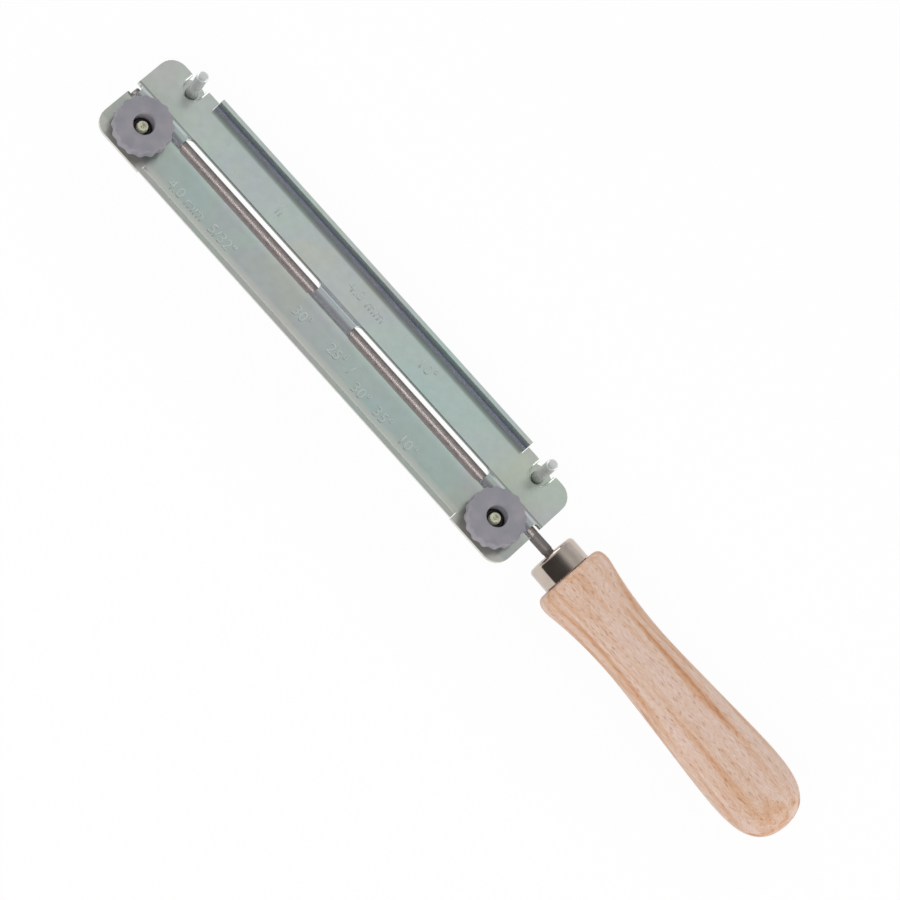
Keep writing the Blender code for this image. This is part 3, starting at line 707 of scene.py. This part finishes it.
def finish_piece(name, maker, body, node, material, even_flats=False):
    """Makes the object of a piece, which rides on its body and replaces its node."""
    mesh = bpy.data.meshes.new(name)
    maker.to_mesh(mesh)
    maker.free()
    mesh.materials.append(material)
    mesh.shade_smooth()
    mesh.set_sharp_from_angle(angle=radians(40))
    piece = bpy.data.objects.new(name, mesh)
    bpy.context.scene.collection.objects.link(piece)
    if even_flats:
        normals = piece.modifiers.new("even flats", "WEIGHTED_NORMAL")
        normals.keep_sharp = True
        normals.weight = 100
    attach(piece, body)
    if node:
        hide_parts(node)
    print(f"{name}: {len(mesh.polygons)} faces, {[round(1000 * side, 1) for side in piece.dimensions]} mm")
    return piece


# %% [markdown]
# ## The guide plate
#
# The plate is blanked, pierced and folded in a press. A press never leaves knife edges: the punch drags the
# sheet's skin down into the cut, and the plating rounds it further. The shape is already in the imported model,
# so a copy of its mesh is joined back into whole faces, and all its sharp edges are rounded by a bevel.
# The slits that let the edges fold are drawn a little narrower, as a press makes them. Beside the rib the
# skin is dragged further, so the slots' long edges get a wider round than the rest, and get it first.
# A bevel on big flat faces spoils smooth shading, so a Weighted Normal modifier lets the large faces rule.

# %% Guide plate
press_edge = 0.17 * MM
press_corner = radians(35)
same_level = 0.05 * MM
flange_half = 74.25 * MM
flat_half_width = 14.0 * MM
slit_width = 1.1 * MM
slit_closing = 0.42 * MM
face_z = 16.2 * MM
slot_edge_y = 3.6 * MM
slot_edge = 0.4 * MM

maker = merged_copy("guide_plate")
plate_middle = (plate_low.x + plate_high.x) / 2
for corner in maker.verts:
    side = 1 if corner.co.x > plate_middle else -1
    out = abs(corner.co.x - plate_middle)
    if abs(corner.co.y) > flat_half_width:
        if abs(out - flange_half) < same_level:
            corner.co.x += side * slit_closing
        if abs(out - flange_half - slit_width) < same_level:
            corner.co.x -= side * slit_closing


def beside_slot(place):
    """True along the slots' long edges, on the face that the knobs stand on."""
    on_face = abs(place.z - face_z) < same_level
    between_ends = abs(place.x - plate_middle) < flange_half
    return on_face and between_ends and abs(place.y) < slot_edge_y


break_edges(maker, slot_edge, press_corner, 3, beside_slot)
break_edges(maker, press_edge, press_corner)
finish_piece(
    "pressed_guide_plate", maker, "guide", "guide_plate", zinc_sheet, even_flats=True
)

# %% [markdown]
# ## The marks on the plate
#
# Such guides carry raised marks: the file's size and lines and numbers for the filing angle. The ones here
# are plain sizes and angles. Each is a text object with a little depth and a bevel, which is made a mesh and
# moved to its place on the plate's face. All of them together are one piece.

# %% Raised marks
mark_height = 5.4 * MM
mark_depth = 0.045 * MM
mark_lift = 0.02 * MM
low_row, middle_row, high_row = -14.4, -11.6, 8.6
marks = [
    ("4.0 mm  5/32\"", -128.0, low_row),
    ("30°", -71.0, middle_row),
    ("25°", -54.5, middle_row),
    ("/", -44.5, middle_row),
    ("30°  35°", -40.0, low_row),
    ("10°", -17.5, low_row),
    ("||", -99.0, high_row),
    ("4.0 mm", -65.0, high_row),
    ("10°", -31.5, high_row),
]

maker = bmesh.new()
for words, start_x, row_y in marks:
    lettering = bpy.data.curves.new("lettering", "FONT")
    lettering.body = words
    lettering.size = mark_height
    lettering.extrude = mark_depth
    lettering.bevel_depth = mark_depth
    lettering.bevel_resolution = 1
    lettering.resolution_u = 3
    holder = bpy.data.objects.new("lettering", lettering)
    bpy.context.scene.collection.objects.link(holder)
    flat = bpy.data.meshes.new_from_object(holder.evaluated_get(bpy.context.evaluated_depsgraph_get()))
    flat.transform(Matrix.Translation((start_x * MM, row_y * MM, face_z + mark_lift)))
    maker.from_mesh(flat)
    bpy.data.objects.remove(holder)
    bpy.data.meshes.remove(flat)
bmesh.ops.remove_doubles(maker, verts=maker.verts, dist=same_place)
finish_piece("raised_size_marks", maker, "guide", None, rubbed_zinc)

# %% [markdown]
# ## The clamp bars
#
# Each bar is a strap of the same sheet with a half-round saddle pressed into it for the file. It is finished
# like the plate: its cut edges are rounded.

# %% Clamp bars
ends = ("tip_end", "handle_end")
bar_corner = radians(50)

for end in ends:
    maker = merged_copy(f"{end}_clamp_bar")
    break_edges(maker, press_edge, bar_corner)
    finish_piece(
        f"{end}_pressed_bar", maker, f"{end}_clamp", f"{end}_clamp_bar",
        zinc_sheet, even_flats=True,
    )

# %% [markdown]
# ## The round file
#
# A round file's teeth run round it as a fine thread with a saw-shaped section, which a chisel raises in the
# soft blank before it is hardened. Blender's spin operator makes such a thread: with dvec, each step of the
# turn also moves along the axis. Merging the doubles then joins every turn with the next. Spinning hundreds
# of turns is slow, so a few are spun, and the whole is then copied along and merged, which doubles it.
# The open ends are drawn on, ring by ring, to the tip's chamfer and to the bare shank. Behind the shoulder
# the rings are squared for the tang, which stands off the file's line by a small angle, as the handle does.

# %% Helpers for threads
def threaded(section, pitch, turns, doublings, steps, line):
    """A bmesh of a helix: a section of (along, radius) points is carried round and along, then doubled."""
    maker = bmesh.new()
    out = Vector((1, 0, 0)) if line.z else Vector((0, 0, 1))
    corners = [maker.verts.new(line * place + out * radius) for place, radius in section]
    edges = [maker.edges.new(pair) for pair in zip(corners, corners[1:])]
    bmesh.ops.spin(
        maker,
        geom=corners + edges,
        cent=(0, 0, 0),
        axis=line,
        dvec=line * pitch / steps,
        angle=2 * pi * turns,
        steps=turns * steps,
    )
    bmesh.ops.remove_doubles(maker, verts=maker.verts, dist=same_place)
    for doubling in range(doublings):
        copied = bmesh.ops.duplicate(maker, geom=maker.verts[:] + maker.edges[:] + maker.faces[:])["geom"]
        corners = [item for item in copied if isinstance(item, bmesh.types.BMVert)]
        bmesh.ops.translate(maker, verts=corners, vec=line * pitch * turns * 2**doubling)
        bmesh.ops.remove_doubles(maker, verts=maker.verts, dist=same_place)
    return maker


def draw_on(maker, line, forwards, rings):
    """Extrudes the open end of a tube through rings of (along, radius); a radius of zero closes it."""
    edges = [edge for edge in maker.edges if edge.is_boundary]
    middle = sum(line.dot(corner.co) for corner in maker.verts) / len(maker.verts)
    edges = [edge for edge in edges if (line.dot(edge.verts[0].co) > middle) == forwards]
    for place, radius in rings:
        drawn = bmesh.ops.extrude_edge_only(maker, edges=edges)["geom"]
        corners = [item for item in drawn if isinstance(item, bmesh.types.BMVert)]
        for corner in corners:
            across = corner.co - line * line.dot(corner.co)
            corner.co = line * place + across.normalized() * radius
        bmesh.ops.remove_doubles(maker, verts=corners, dist=same_place)
        edges = [
            edge
            for edge in maker.edges
            if edge.is_boundary
            and all(abs(line.dot(corner.co) - place) < same_place for corner in edge.verts)
        ]


# %% Round file
file_radius = 2.0 * MM
file_pitch = 0.75 * MM
file_doublings = 8
file_steps = 32
tooth_depth = 0.05 * MM
tooth_shares = [(0.0, 1.0), (0.2, 0.0), (0.32, 0.1), (1.0, 1.0)]
file_height = 13.5 * MM
file_tip_x = -158 * MM
cut_end_x = 35.2 * MM
shoulder_x = 42 * MM
shank_radius = 1.93 * MM
tang_end_x = 78 * MM
tang_front_half = 1.35 * MM
tang_end_half = 0.7 * MM
lean = Matrix.Rotation(radians(-1.2), 3, "Z")
along_x = Vector((1, 0, 0))

cut_start = file_tip_x + 0.5 * MM
tooth = [
    (cut_start + along * file_pitch, file_radius - depth * tooth_depth) for along, depth in tooth_shares
]
tip_rings = [
    (file_tip_x + 0.4 * MM, file_radius - 0.02 * MM),
    (file_tip_x + 0.12 * MM, 1.74 * MM),
    (file_tip_x, 1.55 * MM),
    (file_tip_x, 0),
]
shank_and_tang_rings = [
    (cut_end_x, shank_radius - 0.06 * MM),
    (cut_end_x + 0.5 * MM, shank_radius),
    (shoulder_x - 0.5 * MM, shank_radius),
    (shoulder_x - 0.1 * MM, shank_radius - 0.1 * MM),
    (shoulder_x + 0.4 * MM, tang_front_half),
    (tang_end_x - 0.3 * MM, tang_end_half),
    (tang_end_x, 0.7 * tang_end_half),
    (tang_end_x, 0),
]
maker = threaded(tooth, file_pitch, turns=1, doublings=file_doublings, steps=file_steps, line=along_x)
print("turns of teeth:", 2**file_doublings, "faces:", len(maker.faces))
draw_on(maker, along_x, False, tip_rings)
draw_on(maker, along_x, True, shank_and_tang_rings)
for corner in maker.verts:
    if corner.co.x > shoulder_x:
        radius = Vector((corner.co.y, corner.co.z)).length
        widest = max(abs(corner.co.y), abs(corner.co.z), same_place)
        corner.co = Vector((corner.co.x, corner.co.y * radius / widest, corner.co.z * radius / widest))
        corner.co = lean @ (corner.co - along_x * shoulder_x) + along_x * shoulder_x
bmesh.ops.translate(maker, verts=maker.verts, vec=(0, 0, file_height))
bmesh.ops.recalc_face_normals(maker, faces=maker.faces)
cut_file = finish_piece("cut_round_file", maker, "file_and_handle", "round_file", file_steel)
file_light_group.objects.link(cut_file)

# %% [markdown]
# ## The ferrule
#
# The ferrule is a short tube drawn from sheet brass or steel, with its front edge turned in, and then nickel
# plated and polished. Half its section is drawn as an outline with rounded corners and turned, and the
# piece is then leaned with the tang and the handle.

# %% Ferrule
lean_pivot = Vector((shoulder_x, 0, file_height))


def leaned(maker):
    """Lifts a piece that was turned round X to the file's height, and leans it as the tang leans."""
    bmesh.ops.translate(maker, verts=maker.verts, vec=(0, 0, file_height))
    bmesh.ops.rotate(maker, verts=maker.verts, cent=lean_pivot, matrix=lean)
    return maker


ferrule_x = 43 * MM
ferrule_end_x = 51.5 * MM
ferrule_radius = 8.95 * MM
ferrule_wall = 0.7 * MM
ferrule_mouth = 6.6 * MM
ferrule_corners = [
    (ferrule_end_x, ferrule_radius - ferrule_wall),
    (ferrule_end_x, ferrule_radius),
    (ferrule_x, ferrule_radius),
    (ferrule_x, ferrule_mouth),
    (ferrule_x + ferrule_wall, ferrule_mouth),
    (ferrule_x + ferrule_wall, ferrule_radius - ferrule_wall),
]
ferrule_radii = [0.15 * MM, 0.15 * MM, 1.6 * MM, 0.3 * MM, 0.3 * MM, 0.9 * MM]
maker = leaned(turned(rounded(ferrule_corners, ferrule_radii, steps=10), steps=96, axis="X"))
finish_piece("turned_in_ferrule", maker, "file_and_handle", "ferrule", nickel)

# %% [markdown]
# ## The handle
#
# The handle is turned on a lathe from one piece of beech and sanded while it spins. Its half outline is four
# Bezier curves from the front over the shoulder, the waist and the belly to the butt. The tapered hole for
# the tang and the spigot for the ferrule close the outline at the front.

# %% Handle
def bezier(start, start_pull, end_pull, end, steps):
    """Points on a cubic curve after its start, the end included."""
    corners = [Vector(point) for point in (start, start_pull, end_pull, end)]
    curve = []
    for step in range(1, steps + 1):
        t = step / steps
        shares = ((1 - t) ** 3, 3 * t * (1 - t) ** 2, 3 * t * t * (1 - t), t**3)
        curve.append(tuple(sum((share * corner for share, corner in zip(shares, corners)), Vector((0, 0)))))
    return curve


handle_x = 51.8
handle_length = 107.2
front, shoulder, waist, belly = 10.3, 13.5, 10.95, 13.5
shoulder_at, waist_at, belly_at = 4.5, 33, 86
# Each curve has a start, the two points that it is pulled to, an end and its number of steps, in mm
grip_curves = [
    ((0, front), (0, 12.7), (1.485, shoulder), (shoulder_at, shoulder), 10),
    ((shoulder_at, shoulder), (6.78, shoulder), (15.33, waist), (waist_at, waist), 20),
    ((waist_at, waist), (44.66, waist), (75.93, belly), (belly_at, belly), 24),
    ((belly_at, belly), (95.33, belly), (handle_length, 12.96), (handle_length, 0), 24),
]
hole_and_spigot = [(78.3, 0), (78.3, 1.29), (44.0, 2.21), (44.0, 7.05), (44.9, 7.95), (handle_x, 7.95)]

grip = [(0, front)]
for start, start_pull, end_pull, end, steps in grip_curves:
    grip += bezier(start, start_pull, end_pull, end, steps)
grip[-1] = (handle_length, 0)
outline = hole_and_spigot + [(handle_x + place, radius) for place, radius in grip]
print("points of the half outline:", len(outline))
maker = leaned(turned([(place * MM, radius * MM) for place, radius in outline], steps=128, axis="X"))
finish_piece("turned_beech_handle", maker, "file_and_handle", "handle", beech)

# %% [markdown]
# ## The clamp screws and guide pins
#
# Each clamp's frame is the axis of its knob on the plate's face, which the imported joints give. The pieces are
# made round that axis, with heights over the face, and then carried to it, turned as the clamp is turned.
# The screw's thread is a spun helix like the file's teeth, with the 60 degree section of a metric thread. Its
# top has a chamfer and the small dimple that a lathe centre or a punch leaves, and its lower end is riveted
# over under the bar. The pin is plain, with a rounded top.

# %% Clamp frames
joints = {joint["name"]: joint for joint in frame["record"]["behaviour"]["joints"]}
clamp_turns = {"tip_end": radians(-2), "handle_end": radians(1)}
along_z = Vector((0, 0, 1))


def on_clamp(maker, end):
    """Carries a piece from the origin to the axis of a clamp."""
    place = Matrix.Translation(joints[f"{end}_knob_turn"]["pos_m"])
    bmesh.ops.transform(maker, matrix=place @ Matrix.Rotation(clamp_turns[end], 4, "Z"), verts=maker.verts)
    return maker


for end in ends:
    print(f"{end}: axis in mm", [round(value / MM, 2) for value in joints[f"{end}_knob_turn"]["pos_m"]])

# %% Clamp screws
screw_radius = 2.0 * MM
screw_pitch = 0.7 * MM
thread_depth = 0.4 * MM
screw_end = 5.3 * MM
thread_start = -3.5 * MM
thread_shares = [(0.0, 1.0), (0.12, 1.0), (0.44, 0.0), (0.56, 0.0), (0.88, 1.0), (1.0, 1.0)]
bar_underside = -5.5 * MM
rivet_foot = -6.8 * MM
section = [
    (thread_start + along * screw_pitch, screw_radius - depth * thread_depth)
    for along, depth in thread_shares
]
chamfer_and_dimple_rings = [
    (screw_end - 0.15 * MM, screw_radius - 0.08 * MM),
    (screw_end, screw_radius - 0.22 * MM),
    (screw_end, 0.75 * MM),
    (screw_end - 0.1 * MM, 0.6 * MM),
    (screw_end - 0.35 * MM, 0.25 * MM),
    (screw_end - 0.4 * MM, 0),
]
rivet_rings = [
    (thread_start - 0.3 * MM, screw_radius - 0.02 * MM),
    (bar_underside, screw_radius),
    (bar_underside, 3.6 * MM),
    (bar_underside - 0.08 * MM, 3.7 * MM),
    (bar_underside - 0.4 * MM, 3.7 * MM),
    (rivet_foot + 0.5 * MM, 3.5 * MM),
    (rivet_foot + 0.2 * MM, 3.05 * MM),
    (rivet_foot + 0.04 * MM, 2.3 * MM),
    (rivet_foot, 1.2 * MM),
    (rivet_foot, 0),
]
for end in ends:
    maker = threaded(section, screw_pitch, turns=3, doublings=2, steps=48, line=along_z)
    draw_on(maker, along_z, True, chamfer_and_dimple_rings)
    draw_on(maker, along_z, False, rivet_rings)
    bmesh.ops.recalc_face_normals(maker, faces=maker.faces)
    finish_piece(
        f"{end}_threaded_screw", on_clamp(maker, end), f"{end}_clamp", f"{end}_clamp_screw",
        yellow_zinc,
    )

# %% Guide pins
pin_across = 24.124 * MM
pin_corners = [(-6.5, 0), (-6.5, 3.0), (-5.5, 3.0), (-5.5, 2.0), (12.86, 2.0), (13.0, 0)]
pin_radii = [0, 0.4, 0.15, 0, 0.9, 0]
for end in ends:
    maker = turned_mm(pin_corners, pin_radii, round_steps=4, turn_steps=64)
    bmesh.ops.translate(maker, verts=maker.verts, vec=(0, pin_across, 0))
    finish_piece(
        f"{end}_polished_pin", on_clamp(maker, end), f"{end}_clamp", f"{end}_guide_pin",
        bright_zinc,
    )

# %% [markdown]
# ## The knobs
#
# Each knob is one moulding: a wheel with sixteen shallow finger scallops on a smaller round boss, bored from
# above for its threaded insert. The whole section, bore included, is one closed outline that is turned, and
# the scallops are then pressed in by moving the rim's vertices towards the axis, less and less further in.
# The insert is turned too. Its own thread is left out, because the screw in its bore hides it.

# %% Knobs
scallops = 16
scallop_depth = 0.6 * MM
wheel_radius = 10.1 * MM
scallop_reach = 1.6 * MM
knob_corners = [
    (0.3, 2.4), (0.3, 6.25), (3.3, 6.25), (3.3, 10.1), (7.9, 10.1), (7.9, 8.0), (7.9, 4.1), (7.4, 3.6),
    (1.2, 3.6), (1.2, 2.4),
]
knob_radii = [0.15, 0.3, 0.4, 0.5, 0.7, 0, 0.25, 0.2, 0.2, 0.15]
for end in ends:
    maker = turned_mm(knob_corners, knob_radii, round_steps=5, turn_steps=192)
    for corner in maker.verts:
        radius = corner.co.to_2d().length
        share = min(max((radius - wheel_radius + scallop_reach) / scallop_reach, 0), 1)
        dip = share * scallop_depth * (1 - cos(scallops * atan2(corner.co.y, corner.co.x))) / 2
        corner.co.xy *= (radius - dip) / radius
    finish_piece(
        f"{end}_moulded_knob", on_clamp(maker, end), f"{end}_thumb_nut", f"{end}_knob",
        knob_plastic,
    )

# %% Threaded inserts of the knobs
nut_corners = [(1.5, 2.15), (1.5, 3.3), (4.0, 3.3), (4.0, 2.15)]
nut_radii = [0.15, 0.15, 0.3, 0.35]
for end in ends:
    maker = turned_mm(nut_corners, nut_radii, round_steps=4, turn_steps=64)
    finish_piece(
        f"{end}_turned_insert", on_clamp(maker, end), f"{end}_thumb_nut", f"{end}_knob_nut",
        dull_zinc,
    )
